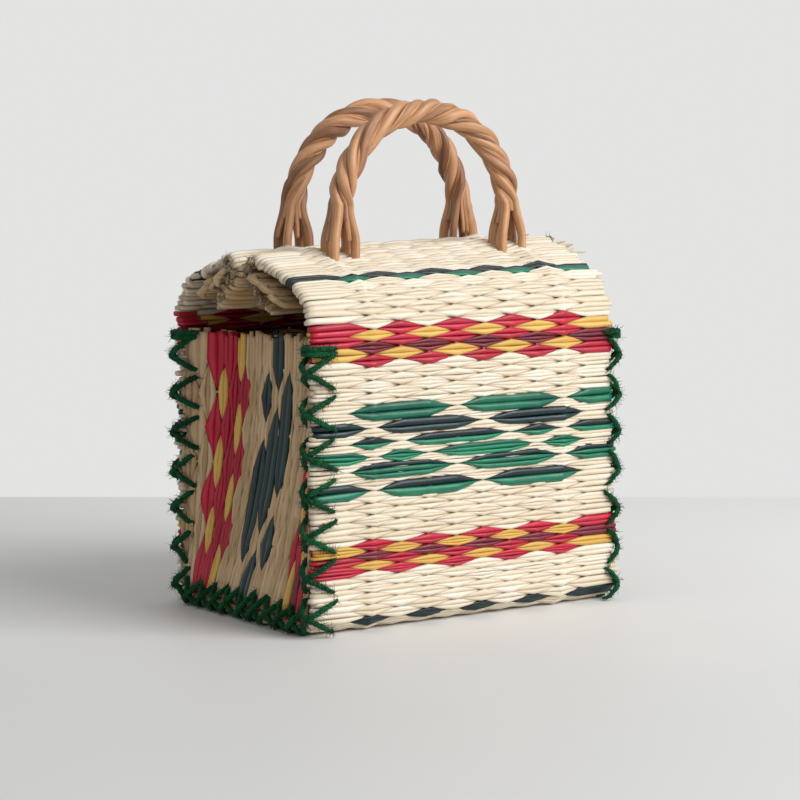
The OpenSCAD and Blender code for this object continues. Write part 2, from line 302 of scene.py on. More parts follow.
def matPlace(x, s, n):
    y, z, ny, nz = matSection(s)
    lift = np.clip(-s / mat["hemStart"], 0, 1) * x / mat["halfWidth"] * mat["flapLift"]
    selvage = mat["halfWidth"] - mat["warps"][-1]
    out = n + mat["belly"] * np.clip((mat["halfWidth"] - np.abs(x)) / selvage, 0, 1)
    return np.stack([x, y + ny * out, z + nz * out + lift], -1)


# rows of the long mat from the end of its hem to the middle of the base
rowPlan = {
    # row number below the fold and how far down it lies, measured on the photo
    "places": [
        (-35, -130.3), (-34, -126.5), (-26, -94.5), (-14, -48.3), (-13, -44.6), (-12, -41.0), (-3, -7.8),
        (-2, -4.2), (-1, -0.9), (0, 2.9), (2, 10.5), (10, 39.6), (13, 48.9), (16, 57.4), (19, 65.3),
        (22, 73.3), (25, 84.4), (34, 115.6), (39, 130.3), (47, 155.5), (49, 162.0), (66, 226.9), (67, 230.7),
    ],
    # one letter of dyes a row, from the fold upwards and from the fold downwards
    "flap": "ryr" + "n" * 8 + "bt" + "n" * 12 + "p" * 9,
    "wall": "dyr" + "n" * 7 + "gnntnnbnngnnbnnb" + "n" * 8 + "rydryr" + "n" * 8 + "t" + "n" * 18,
    "motifRow": 10,
    "motifStep": 3,
    "motifCount": 6,
}
# p is the browner, darker natural reed, partly painted shade, for the hem rows and the end panels
dyes = {
    "n": ("naturalReed",),
    "p": ("brownShadedReed",),
    "r": ("redReed",),
    "d": ("darkRedReed",),
    "y": ("yellowReed",),
    "g": ("greenReed",),
    "b": ("tealReed", "greenReed"),
    "t": ("tealReed",),
}


def rowPlace(k):
    places = np.array(rowPlan["places"], float)
    return np.interp(k, places[:, 0], places[:, 1])


def rowDye(k):
    return rowPlan["flap"][-k - 1] if k < 0 else rowPlan["wall"][k]


def overWarp(k, j, count, motifStart):
    m, apart = divmod(k - motifStart, rowPlan["motifStep"])
    motif = apart == 0 and 0 <= m < rowPlan["motifCount"]
    return (k + j) % 2 == 0 or motif and 0 < j < count - 1 and (j - 1 - m) % 4 == 0


def ease(t, low, high):
    t = np.clip((t - low) / (high - low), 0, 1)
    return t * t * (3 - 2 * t)


# stems of a row, lengths in mm
stem = {
    "warpJitter": 0.7,
    "reach": 0.92,        # share of the warp step where the end floats begin
    "startCover": 0.85,
    "endCover": 0.92,
    "innerStep": 1.8,     # rings lie this much further apart on the inside
    "tipShare": 0.05,     # height left where a float dives under a warp
    "ridgeWidth": 8,
    "sizeSpread": 0.13,
    "drift": (0.06, 0.16),
    "liftSpread": 0.22,
    "thin": 0.50,
    "swell": 1.15,
    "innerPaintedLight": 0.35,   # painted shade: the inside is painted darker
    "outerSides": 6,
    "innerSides": 4,
    "turnBack": (14.0, 9.0, 4.5),   # a stem that turns round the edge runs back this far
}


# one face of a row: floats that taper to points where the next warp holds them down
def weaveFace(sheaf, rng, place, row, face):
    outer = face > 0
    warps = np.array(row["warps"]) + rng.normal(0, stem["warpJitter"], len(row["warps"]))
    reach = stem["reach"] * (row["warps"][1] - row["warps"][0])
    starts, ends = row["startOver"] == outer, row["endOver"] == outer
    knots = np.array([row["from"], warps[0] - reach, *warps, warps[-1] + reach, row["to"]])
    held = [o == outer for o in row["over"]]
    over = [stem["startCover"] * starts, starts, *held, ends, stem["endCover"] * ends]
    x0, x1 = knots[0 if starts else 1], knots[-1 if ends else -2]
    steps = max(6, int((x1 - x0) / (mat["ringStep"] * (1 if outer else stem["innerStep"]))))
    x = np.unique(np.concatenate([np.linspace(x0, x1, steps + 1), knots[(knots > x0) & (knots < x1)]]))
    cover = np.interp(x, knots, np.array(over, float))
    bold = row["bold"] if outer else 1.0
    pointed = stem["tipShare"] + (1 - stem["tipShare"]) * cover ** 0.9
    tall = 2 * row["pitch"] * (1 + (bold - 1) * cover) * pointed
    top = mat["faceN"] + (row["raised"] if outer else 0)
    middle = mat["tipN"] + (top - mat["tipN"]) * (0.75 * ease(cover, 0.02, 0.45) + 0.25 * cover)
    for w in (warps[0], warps[-1]) if row["ridge"] and outer else ():
        middle = middle + row["ridge"] * np.clip(1 - np.abs(x - w) / stem["ridgeWidth"], 0, 1) * cover
    fan = np.clip((knots[1] - x) / (knots[1] - knots[0]), 0, 1) if starts else np.zeros_like(x)
    lean = rng.normal(0, row["loose"])
    count = rng.choice((2, 2, 3)) if outer else 2
    for q in range(count):
        share = (q + 0.5) / count - 0.5
        size = 1 + rng.uniform(-stem["sizeSpread"], stem["sizeSpread"])
        half = tall / (2 * count) * 1.05 * size + 0.10
        phase, drift = rng.uniform(0, 6.28, 2), rng.uniform(*stem["drift"]) + 0.2 * row["loose"]
        s = row["s"] + share * tall * (1 + 0.16 * fan) + lean * fan
        s = s + drift * np.sin(x / 21 + phase[0]) * cover + 0.05 * np.sin(x / 7 + phase[1])
        lift = rng.uniform(-stem["liftSpread"], stem["liftSpread"])
        n = middle + lift * cover + 0.12 * np.sin(x / 15 + phase[1])
        thick = (stem["thin"] + stem["swell"] * cover ** 0.8) * (2 / count) ** 0.3 * size
        # painted shade: a float is painted darker where it dives under a warp, and darker still on the inside
        # face
        px, depth = x.copy(), np.clip(0.20 + 1.3 * cover, 0, 1) * (1 if outer else stem["innerPaintedLight"])
        if row["turned"] and starts and outer:  # the stem turns round the edge and runs back inside
            r = mat["faceN"] + rng.uniform(0.2, 0.9)
            out = rng.normal(0, 0.9)
            a = np.linspace(math.pi, 0, 7)[:-1]
            backX = x0 + out + r + np.array(stem["turnBack"]) * rng.uniform(0.8, 1.15)
            turnX = np.concatenate([backX, x0 + out + r - r * np.sin(a)])
            turnN = np.concatenate([np.full(3, n[0] - 2 * r), n[0] - r + r * np.cos(a)])
            keep = x > x0 + out + r + 1.0
            lead = len(turnX)
            px, n = np.concatenate([turnX, px[keep]]), np.concatenate([turnN, n[keep]])
            s = np.concatenate([np.full(lead, s[0]), s[keep]])
            half = np.concatenate([np.full(lead, half[0]), half[keep]])
            thick = np.concatenate([np.full(lead, thick[0] * 0.8), thick[keep]])
            # painted shade: the part that runs back inside is painted darker towards its end
            depth = np.concatenate([np.linspace(0.4, 1, lead), depth[keep]])
        else:
            px[0] += rng.normal(0, row["ragged"]) if starts else 0
            px[-1] += rng.normal(0, row["ragged"]) if ends else 0
        tx, tn = np.gradient(px), np.gradient(n)
        length = np.maximum(np.hypot(tx, tn), 1e-6)
        tx, tn = tx / length, tn / length
        along = np.concatenate([[0], np.cumsum(np.hypot(np.diff(px), np.diff(n)))]) * mm
        sides = stem["outerSides"] if outer else stem["innerSides"]
        angle = np.arange(sides) * 2 * math.pi / sides + rng.uniform(0, 0.5)
        ringX = px[:, None] - face * tn[:, None] * thick[:, None] * np.sin(angle)
        ringS = s[:, None] + half[:, None] * np.cos(angle)
        ringN = face * n[:, None] + tx[:, None] * thick[:, None] * np.sin(angle)
        pick = q if count == 2 else (q + 1) // 2
        slot = stemOrder.index(row["dyes"][pick % len(row["dyes"])])
        rings = place(ringX, ringS, ringN)[:, ::-1]
        sheaf.tube(rings, slot, rng.random(), depth, along, rng.uniform(0, 50, 2))


def weaveRow(sheaf, rng, place, row):
    for face in (1, -1):
        weaveFace(sheaf, rng, place, row, face)


def matOver(k, j):
    return overWarp(k, j, len(mat["warps"]), rowPlan["motifRow"])


def longMatRow(rng, k):
    s = rowPlace(k)
    pitch = (rowPlace(k + 1) - rowPlace(k - 1)) / 2
    height = matSection(np.array([s]))[1][0]
    dye = rowDye(k)
    motif = 0 <= k - rowPlan["motifRow"] < rowPlan["motifCount"] * rowPlan["motifStep"] and dye != "n"
    taper = mat["rightTaper"] * min(height, mat["taperTop"]) / mat["foldZ"]
    return {
        "s": s,
        "pitch": pitch,
        "from": mat["left"] + rng.uniform(-0.8, 0.8),
        "to": mat["right"] - taper + rng.uniform(-0.8, 0.8),
        "warps": mat["warps"],
        "over": [matOver(k, j) for j in range(len(mat["warps"]))],
        "startOver": k % 2 == 1,
        "endOver": k % 2 == 0,
        "turned": True,
        "dyes": dyes[dye],
        "bold": mat["motifBold"] if motif else 1.0,
        "raised": 1.0 if motif else 0.0,
        "ridge": 1.0,
        "loose": mat["loose"],
        "ragged": mat["flapRagged"] if k < -3 else mat["ragged"],
    }


cordWay = {"radius": 0.8, "under": -0.9, "over": 1.1}


# a warp cord rises between the floats that cover it
def warpCords(sheaf, rng, place, xs, rows, overs, spots):
    r = cordWay["radius"]
    at = np.linspace(rows[0] - 0.5, rows[-1] + 0.5, 2 * len(rows) + 1)
    s = np.array([spots(k) for k in at])
    angle = np.arange(5) * 2 * math.pi / 5
    for j, x in enumerate(xs):
        lift = np.interp(at, rows, [cordWay["under" if overs(k, j) else "over"] for k in rows])
        side = x + r * np.cos(angle) + 0 * s[:, None]
        rings = place(side, np.broadcast_to(s[:, None], side.shape), lift[:, None] + r * np.sin(angle))
        sheaf.tube(rings, len(stemOrder), rng.random(), 1.0, (s - s[0]) * mm)


def cordFinish():
    material, tree, wire, shader = newFinish("warpCord")
    stemMap = wire.node("UVMap", {"uv_map": "stemMap"})
    ply = wire.node("Mapping", None, {0: stemMap, 3: (400, 2, 1)})
    twist = wire.node("TexWave", {"bands_direction": "DIAGONAL"}, {0: ply, 1: 1.0, 2: 3.0})
    body = wire.node("TexCoord", out=3)
    cloud = wire.node("TexNoise", None, {0: body, 2: 400})
    # the colour follows the ply twist and mottling: darker in the grooves between plies, partly the cord's
    # own tone and partly painted shade
    colour = (0.5 * twist + 0.6 * cloud).mix(rgb((0.20, 0.16, 0.12)), rgb((0.66, 0.60, 0.52)))
    bump = wire.node("Bump", None, {"Strength": 0.5, "Distance": 0.0003, "Height": twist})
    plug(tree, shader, Base_Color=colour, Roughness=0.85 + 0.1 * cloud, Normal=bump)
    return material


cord = cordFinish()
matFinishes = list(stems.values()) + [cord]

matPieces = {
    "FoldReeds": {"rows": (-3, 1), "body": "both", "seed": 11},
    "WallReeds": {"rows": (2, 46), "body": "basket", "seed": 12},
    "BaseReeds": {"rows": (47, 66), "body": "basket", "seed": 13},
    "FlapReeds": {"rows": (-34, -4), "body": "lid", "seed": 14},
}


def weaveLongMat(side, mirror):
    for label, plan in matPieces.items():
        rng = np.random.default_rng(plan["seed"] + (100 if mirror is not None else 0))
        sheaf = Sheaf()
        first, last = plan["rows"]
        for k in range(first, last + 1):
            weaveRow(sheaf, rng, matPlace, longMatRow(rng, k))
        warpCords(sheaf, rng, matPlace, mat["warps"], range(first, last + 1), matOver, rowPlace)
        made = sheaf.piece(side + label, matFinishes, mirror)
        lid, sign = side + "_lid", 1 if mirror is None else -1
        if plan["body"] == "both":
            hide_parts("body_mat")
            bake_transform(made)
        elif plan["body"] == "lid":
            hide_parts(side + "_flap")
            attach(made, lid)
        else:
            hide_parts("body_mat")
            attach(made, "basket")


weaveLongMat("front", None)
weaveLongMat("back", 1)
print("long mat woven")


# end panels: reeds stand upright, the panel is pushed in towards its top
panel = {
    "half": 68.7,
    "x": -106.5,
    "floor": 7.3,
    "top": 165.4,
    "bow": 28.0,
    "cornerY": 58.5,
    "cornerZ": 17.5,
    "cornerR": 10.2,
    "warps": [86.35 + (j - 2) * 21 for j in range(5)],
    "rows": "nnn" + "ryrryr" + "n" * 5 + "tnntnnt" + "n" * 7 + "ryrdyr" + "nnn",
    "bolds": {"r": 1.22, "y": 0.72, "t": 1.6},
    "thinFrom": 28,    # the band by the front corner is of thin stems
    "thinBold": 0.75,
    "motifRow": 14,
    "motifRaised": 0.9,
    "loose": 0.9,
}


def panelPlace(z, y, n):
    t = np.clip((z - panel["floor"]) / (panel["top"] - panel["floor"]), 0, 1)
    u = np.clip(np.abs(y) / panel["half"], 0, 1)
    across, up = 1 - u ** 4, 1 - (1 - t) ** 2
    steep = -np.sign(y) * panel["bow"] * up * 4 * u ** 3 / panel["half"] * across
    lean = panel["bow"] * across * 2 * (1 - t) / (panel["top"] - panel["floor"])
    size = np.sqrt(1 + steep ** 2 + lean ** 2)
    x = panel["x"] + panel["bow"] * across * up
    return np.stack([x - n / size, y + n * steep / size, z + n * lean / size], -1)


def panelFoot(y):
    d = min(max(abs(y) - panel["cornerY"], 0), panel["cornerR"])
    return panel["cornerZ"] - math.sqrt(panel["cornerR"] ** 2 - d * d) if d > 0 else panel["floor"]


def panelOver(k, j):
    return overWarp(k, j, len(panel["warps"]), panel["motifRow"])


def turnedPlace(z, s, n):
    return panelPlace(z, -s, n)


def weavePanel(name, node, mirror, seed):
    rng = np.random.default_rng(seed)
    sheaf = Sheaf()
    count = len(panel["rows"])
    pitch = 2 * panel["half"] / count
    for k, dye in enumerate(panel["rows"]):
        y = panel["half"] - (k + 0.5) * pitch
        thin = k >= panel["thinFrom"] and dye != "n"
        weaveRow(sheaf, rng, turnedPlace, {
            "s": -y,
            "pitch": pitch,
            "from": panelFoot(y) + 0.3,
            "to": panel["top"] + rng.uniform(-1.5, 0.5),
            "warps": panel["warps"],
            "over": [panelOver(k, j) for j in range(len(panel["warps"]))],
            "startOver": k % 2 == 1,
            "endOver": k % 2 == 1,
            "turned": False,
            # natural rows of the end panels take the browner reed, partly painted shade
            "dyes": dyes["p" if dye == "n" else dye],
            "bold": panel["thinBold"] if thin else panel["bolds"].get(dye, 1.0),
            "raised": panel["motifRaised"] if dye == "t" else 0.0,
            "ridge": 0.0,
            "loose": panel["loose"],
            "ragged": 1.0,
        })
    warpCords(sheaf, rng, turnedPlace, panel["warps"], range(count), panelOver,
              lambda k: (k + 0.5) * pitch - panel["half"])
    made = sheaf.piece(name, matFinishes, mirror)
    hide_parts(node)
    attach(made, "basket")


weavePanel("leftEndReeds", "left_end_panel", None, 31)
weavePanel("rightEndReeds", "right_end_panel", 0, 32)
print("end panels woven")


# twisted handles: four peeled rods, splayed where they pass through the flap
handle = {
    "radius": 61.0,
    "leg": 16.0,
    "y": -25.0,
    "shift": 4.0,
    "rope": 4.6,
    "rod": 3.05,
    "turns": 3,
    "splay": 0.1,
    "footX": 7.4,
    "footY": 4.6,
    "tail": 14.0,
    "bend": 5.0,
    "splint": 1.25,    # thin splints run beside the rods
    "slack": 0.5,      # how unevenly the twist is spread
    "sag": 0.9,
    "rings": 120,
    "soleLift": 7.0,   # the straight legs begin this far above the flap
    "tailDrop": 6.5,   # the tails lie this far under the middle of the flap
}


def flapMiddle(y):
    rise = mat["foldZ"] + 0.3 + mat["flapLeg"] + mat["flapR"] * math.sin(mat["flapTurn"])
    knee = -mat["wallY"] + mat["flapR"] * (1 - math.cos(mat["flapTurn"]))
    return rise + (y - knee) * math.tan(math.pi / 2 - mat["flapTurn"])


def rodPath(phase, rng, uneven):
    h = handle
    u = np.linspace(0, 1, h["rings"])
    length = 2 * h["leg"] + math.pi * h["radius"]
    d = u * length
    a = np.clip((d - h["leg"]) / (math.pi * h["radius"]), 0, 1) * math.pi
    sole = flapMiddle(h["y"] + h["footY"]) + h["soleLift"]
    ax, az = -np.cos(a), np.sin(a)
    hump = np.sin(u * math.pi)
    wob = (0.6 * np.sin(u * 11 + rng.uniform(0, 6)) + 0.3 * np.sin(u * 29 + rng.uniform(0, 6))) * hump
    turn = phase + 2 * math.pi * h["turns"] * np.clip((u - h["splay"]) / (1 - 2 * h["splay"]), 0, 1)
    turn = turn + h["slack"] * hump * np.sin(u * 14 + uneven)
    turn = turn + 0.10 * hump * np.sin(u * 23 + rng.uniform(0, 6))
    e = 1 - np.clip(np.minimum(u, 1 - u) / h["splay"], 0, 1)
    e = e * e * (3 - 2 * e)
    out = (h["rope"] + wob + (h["footX"] * math.sqrt(2) - h["rope"]) * e) * np.cos(turn)
    across = (h["rope"] + wob + (h["footY"] * math.sqrt(2) - h["rope"]) * e) * np.sin(turn)
    sag = h["sag"] * np.sin(u * 8 + uneven) * hump
    x = h["shift"] + (h["radius"] + sag) * ax + out * ax
    y = h["y"] + across
    z = sole + np.minimum(np.minimum(d, h["leg"]), length - d) + (h["radius"] + sag) * az + out * az
    path = np.stack([x, y, z], -1)
    tails = []
    for side in (-1, 1):
        sx, sy = np.sign(math.cos(phase)), np.sign(math.sin(phase))
        fx, fy = h["shift"] + side * (h["radius"] + h["footX"] * sx), h["y"] + h["footY"] * sy
        away, r = side * sx, h["bend"]
        low = flapMiddle(fy) - h["tailDrop"] / math.sin(mat["flapTurn"]) - r * (1 - math.sqrt(0.5))
        b = np.linspace(0, math.pi / 2, 7)
        tails.append(np.concatenate([
            [[fx + away * h["tail"], fy, low], [fx + away * (h["tail"] + r) / 2, fy, low]],
            np.stack([fx + away * r * (1 - np.sin(b)), np.full(7, fy), low + r * (1 - np.cos(b))], -1),
            [[fx, fy, low + r + 3], [fx, fy, low + r + 7]],
        ]))
    return np.concatenate([tails[0], path, tails[1][::-1]])


def sweepRings(path, radii, reference):
    sides = radii.shape[1]
    along = np.gradient(path, axis=0)
    along /= np.linalg.norm(along, axis=1)[:, None]
    u = np.cross(along, reference)
    u /= np.linalg.norm(u, axis=1)[:, None]
    v = np.cross(u, along)
    angle = np.arange(sides) * 2 * math.pi / sides
    ring = np.cos(angle)[:, None] * u[:, None] + np.sin(angle)[:, None] * v[:, None]
    return path[:, None] + radii[..., None] * ring


def rodFinish():
    material, tree, wire, shader = newFinish("peeledWillow")
    tone = wire.node("Attribute", {"attribute_name": "stemTone"}, out=2)
    stemMap = wire.node("UVMap", {"uv_map": "stemMap"})
    long = wire.node("Mapping", None, {0: stemMap, 3: (14, 5, 1)})
    fine = wire.node("Mapping", None, {0: stemMap, 3: (40, 26, 1)})
    grain = wire.node("TexNoise", None, {0: long, 2: 2.0, 3: 5})
    fibre = wire.node("TexNoise", None, {0: fine, 2: 3.0, 3: 3})
    body = wire.node("TexCoord", out=3)
    cloud = wire.node("TexNoise", None, {0: body, 2: 38, 3: 3})
    light = (0.34 * tone + 0.70 * grain + 0.45 * cloud - 0.24).between(0.2, 0.8)
    colour = light.mix(rgb((0.15, 0.052, 0.018)), rgb((0.63, 0.33, 0.16)))
    scars = (0.8 * fibre + 0.4 * cloud).between(0.70, 0.84)
    colour = (0.7 * scars).mix(colour, rgb((0.10, 0.040, 0.016)))
    bump = wire.node("Bump", None, {"Strength": 0.5, "Distance": 0.0005, "Height": grain + 0.5 * fibre})
    plug(tree, shader, Base_Color=colour, Roughness=0.34 + 0.24 * fibre, Normal=bump)
    return material


willow = rodFinish()


def bendHandle(side, mirror, seed):
    uneven = np.random.default_rng(seed).uniform(0, 6)
    for rod in range(4):
        rng = np.random.default_rng(seed + rod)
        phase = math.pi / 4 + rod * math.pi / 2
        path = rodPath(phase, rng, uneven)
        length = np.concatenate([[0], np.cumsum(np.linalg.norm(np.diff(path, axis=0), axis=1))])
        taper = np.linspace(1.08, 0.88, len(path)) if rod % 2 else np.linspace(0.88, 1.08, len(path))
        radii = handle["rod"] * taper * (1 + 0.03 * np.sin(length / 9 + rod) + 0.02 * np.sin(length / 3.7))
        for bud in rng.uniform(0.15, 0.85, 3) * length[-1]:  # low swellings where side shoots were cut off
            radii = radii * (1 + 0.12 * np.exp(-((length - bud) / 2.2) ** 2))
        angle = np.arange(12) * math.pi / 6
        turns = length[:, None] / 37 + rng.uniform(0, 6, 3)[:, None, None]
        lumps = 0.07 * np.sin(2 * angle + turns[0]) + 0.05 * np.sin(3 * angle - turns[1])
        rings = sweepRings(path, radii[:, None] * (1 + lumps), (0, 1, 0))
        sheaf = Sheaf()
        sheaf.tube(rings, 0, rng.random(), 1.0, length * mm, rng.uniform(0, 50, 2))
        for splint in range(2):
            inner = slice(12 + 6 * splint, -12 - 4 * rod)
            beside = rodPath(phase + 0.62 + 0.25 * splint, rng, uneven)[inner]
            thin = handle["splint"] * (1 + 0.25 * np.sin(length[inner] / 31 + splint))[:, None] * np.ones(7)
            sheaf.tube(sweepRings(beside, thin, (0, 1, 0)), 0, rng.random(), 1.0, length[inner] * mm,
                       rng.uniform(0, 50, 2))
        made = sheaf.piece("%sHandleRod%d" % (side, rod + 1), [willow], mirror)
        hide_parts("%s_handle_rod_%d" % (side, rod + 1))
        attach(made, side + "_lid")


bendHandle("front", None, 51)
bendHandle("back", 1, 61)
print("handles bent")


# seam yarn: crosses of fuzzy wool over each edge of an end panel
yarn = {
    "radius": 1.6,
    "wallY": 75.6,
    "edgeX": 110.6,
    "crosses": 7,
    "firstCross": 11.5,
    "crossStep": 23.2,
    "armRise": 9.2,
    "ties": (161.2, 164.0),
    "wallReach": {"left": 15.5, "right": 7.5},
    "panelReach": 4.0,
    "baseStitches": 9,
    "baseReach": 64.0,
    "hairsPerMm": 4.0,
    "hairLength": 5.4,
    "hairWidth": 0.19,
    "ringStep": 1.3,
}


def fuzzFinish(name, dark, light):
    material, tree, wire, shader = newFinish(name)
    tone = wire.node("Attribute", {"attribute_name": "stemTone"}, out=2)
    stemMap = wire.node("UVMap", {"uv_map": "stemMap"})
    ply = wire.node("Mapping", None, {0: stemMap, 3: (300, 4, 1)})
    twist = wire.node("TexWave", {"bands_direction": "DIAGONAL"}, {0: ply, 1: 1.0, 2: 5.0})
    body = wire.node("TexCoord", out=3)
    cloud = wire.node("TexNoise", None, {0: body, 2: 500, 3: 3})
    # the colour follows the twist and mottling: darker in the ply grooves, partly the yarn's own tone and
    # partly painted shade
    colour = (0.35 * twist + 0.5 * cloud + 0.2 * tone).between(0.2, 0.9).mix(rgb(dark), rgb(light))
    bump = wire.node("Bump", None, {"Strength": 0.8, "Distance": 0.0006, "Height": twist + cloud})
    plug(tree, shader, Base_Color=colour, Roughness=0.9 + 0.08 * cloud, Normal=bump)
    shader.inputs["Sheen Weight"].default_value = 0.05
    shader.inputs["Specular IOR Level"].default_value = 0.2
    return material


# the dark end of the green wool is partly painted shade
wool = fuzzFinish("greenWool", (0.001, 0.026, 0.009), (0.004, 0.150, 0.045))
jute = fuzzFinish("juteEnds", (0.28, 0.20, 0.12), (0.60, 0.49, 0.34))


def smoothPath(points, step):
    points = np.array(points, float)
    for _ in range(2):  # corner cutting
        near, far = points[:-1], points[1:]
        middle = np.stack([0.8 * near + 0.2 * far, 0.2 * near + 0.8 * far], 1).reshape(-1, 3)
        points = np.concatenate([points[:1], middle, points[-1:]])
    length = np.concatenate([[0], np.cumsum(np.linalg.norm(np.diff(points, axis=0), axis=1))])
    at = np.linspace(0, length[-1], max(4, int(length[-1] / step)))
    return np.stack([np.interp(at, length, points[:, i]) for i in range(3)], -1), at


def layYarn(sheaf, rng, points, radius, point=1.0):
    path, at = smoothPath(points, yarn["ringStep"])
    slim = np.interp(at / at[-1], (0, 0.30), (point, 1.0))[:, None]
    path = path + 0.12 * rng.standard_normal(path.shape)
    along = np.gradient(path, axis=0)
    along /= np.linalg.norm(along, axis=1)[:, None]
    u = np.zeros_like(path)
    ref = np.cross(along[0], (0.31, 0.77, 0.55))
    for i in range(len(path)):  # carried along without twist
        ref = ref - along[i] * ref.dot(along[i])
        ref = ref / np.linalg.norm(ref)
        u[i] = ref
    v = np.cross(along, u)
    angle = np.arange(8) * math.pi / 4
    lumps = 0.10 * np.sin(at[:, None] * 2.1 + 2 * angle) + 0.06 * rng.standard_normal((len(at), 8))
    swell = radius * slim * (1 + lumps)
    ring = np.cos(angle)[:, None] * u[:, None] + np.sin(angle)[:, None] * v[:, None]
    rings = path[:, None] + swell[..., None] * ring
    sheaf.tube(rings[:, ::-1], 0, rng.random(), 1.0, at * mm, rng.uniform(0, 50, 2))
    for _ in range(int(at[-1] * yarn["hairsPerMm"])):  # stray fibres
        i, turn = rng.integers(1, len(path) - 1), rng.uniform(0, 2 * math.pi)
        out = math.cos(turn) * u[i] + math.sin(turn) * v[i]
        side = np.cross(out, along[i])
        reach = yarn["hairLength"] * rng.uniform(0.35, 1) ** 2
        lean = along[i] * rng.uniform(-1, 1) * reach
        curl = side * rng.uniform(-0.5, 0.5) * reach
        base = path[i] + out * radius * 0.8
        tip = base + out * reach * 0.7 + lean + curl
        corner = np.array([[1, 0], [-0.5, 0.87], [-0.5, -0.87], [0.2, -0.5]]) * yarn["hairWidth"]
        across = corner[:, :1] * side + corner[:, 1:] * along[i]
        rings = np.stack([base + across, tip + 0.3 * across])
        sheaf.tube(rings, 0, rng.random(), 1.0, np.array([0, 0.002]), rng.uniform(0, 50, 2))


def panelFace(y, z, lift):
    return panelPlace(np.array([z]), np.array([y]), np.array([lift]))[0]


def laceSeams(end, mirror, seed):
    rng = np.random.default_rng(seed)
    sheaf = Sheaf()
    r, wall, edge, reach = yarn["radius"], yarn["wallY"], yarn["edgeX"], yarn["wallReach"][end]
    crosses = [yarn["firstCross"] + i * yarn["crossStep"] for i in range(yarn["crosses"])]
    arms = [(z + rng.normal(0, 0.7), way) for z in crosses for way in (1, -1)]
    arms += [(z, 0) for z in yarn["ties"]]
    for front in (-1, 1):
        for z, way in arms:
            rise = way * (yarn["armRise"] + rng.normal(0, 0.6))
            drop = way * (yarn["armRise"] + rng.normal(0, 0.6))
            tip = reach + rng.normal(0, 1.0)
            out = r * (0.9 if way >= 0 else 1.9)
            tuck = panelFace(front * (panel["half"] - yarn["panelReach"] + rng.normal(0, 0.8)), z - drop, 3.4)
            layYarn(sheaf, rng, [
                (-edge + tip + 1.0, front * (wall - 3.0), z + rise * 1.08),
                (-edge + tip, front * (wall + r * 0.7), z + rise),
                (-edge + tip * 0.5, front * (wall + r * 0.9), z + rise * 0.66),
                (-edge + 1.5, front * (wall + out * 0.8), z + rise * 0.30),
                (-edge - out * 0.8, front * (wall - 1.0), z + rise * 0.12),
                (-edge - out, front * (wall - 4.5), z - drop * 0.12),
                (-edge - out * 0.7, front * (wall - 8.0), z - drop * 0.40),
                tuck,
                tuck + (4.0, 0, -0.06 * drop),
            ], r, 0.5)
    step = 2 * yarn["baseReach"] / yarn["baseStitches"]
    for i in range(yarn["baseStitches"]):  # slanting pairs bind the foot of the panel to the base
        for way in (1, -1):
            y = -yarn["baseReach"] + (i + 0.5) * step + rng.normal(0, 0.8)
            high = panelFace(y + way * step * 0.45, 14.0 + rng.normal(0, 1.2), 3.2)
            out = r * (0.9 if way > 0 else 2.0)
            layYarn(sheaf, rng, [
                high + (4.0, 0, 1.0),
                high,
                (-edge - out, y + way * step * 0.12, 8.6),
                (-edge - out, y - way * step * 0.25, 4.2),
                (-edge + 1.0, y - way * step * 0.45, 1.7),
                (-edge + 6.0, y - way * step * 0.50, 2.4),
            ], r)
    made = sheaf.piece(end + "SeamYarn", [wool], mirror)
    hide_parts(end + "_seam_yarn")
    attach(made, "basket")


laceSeams("left", None, 71)
laceSeams("right", 0, 72)
print("seams laced")


# ends of the rolled hems: stuffed with turned-in reeds and knotted off with frayed jute
hem = {
    "ends": (-109.5, 107.0),
    "loops": (2.2, 6.2),
    "loopR": 2.1,
    "loopOut": (1.0, 4.0),
    "hearts": ((-19.0, -5.0), (-29.5, -9.5), (-39.0, -14.0)),
    "knots": 6,
    "knotSize": (1.5, 2.6),
    "knotYarn": 1.3,
    "strays": 5,
    "strayX": 104.0,
    "strayLength": (5, 11),
}


def hemHeight(x):
    full, knee = mat["flapTurn"], mat["flapLeg"] + mat["flapR"] * mat["flapTurn"]
    rest = mat["hemStart"] - knee
    z = mat["foldZ"] + mat["flapLeg"] + (mat["flapR"] - mat["hemR"]) * math.sin(full) + rest * math.cos(full)
    return z + x / mat["halfWidth"] * mat["flapLift"]


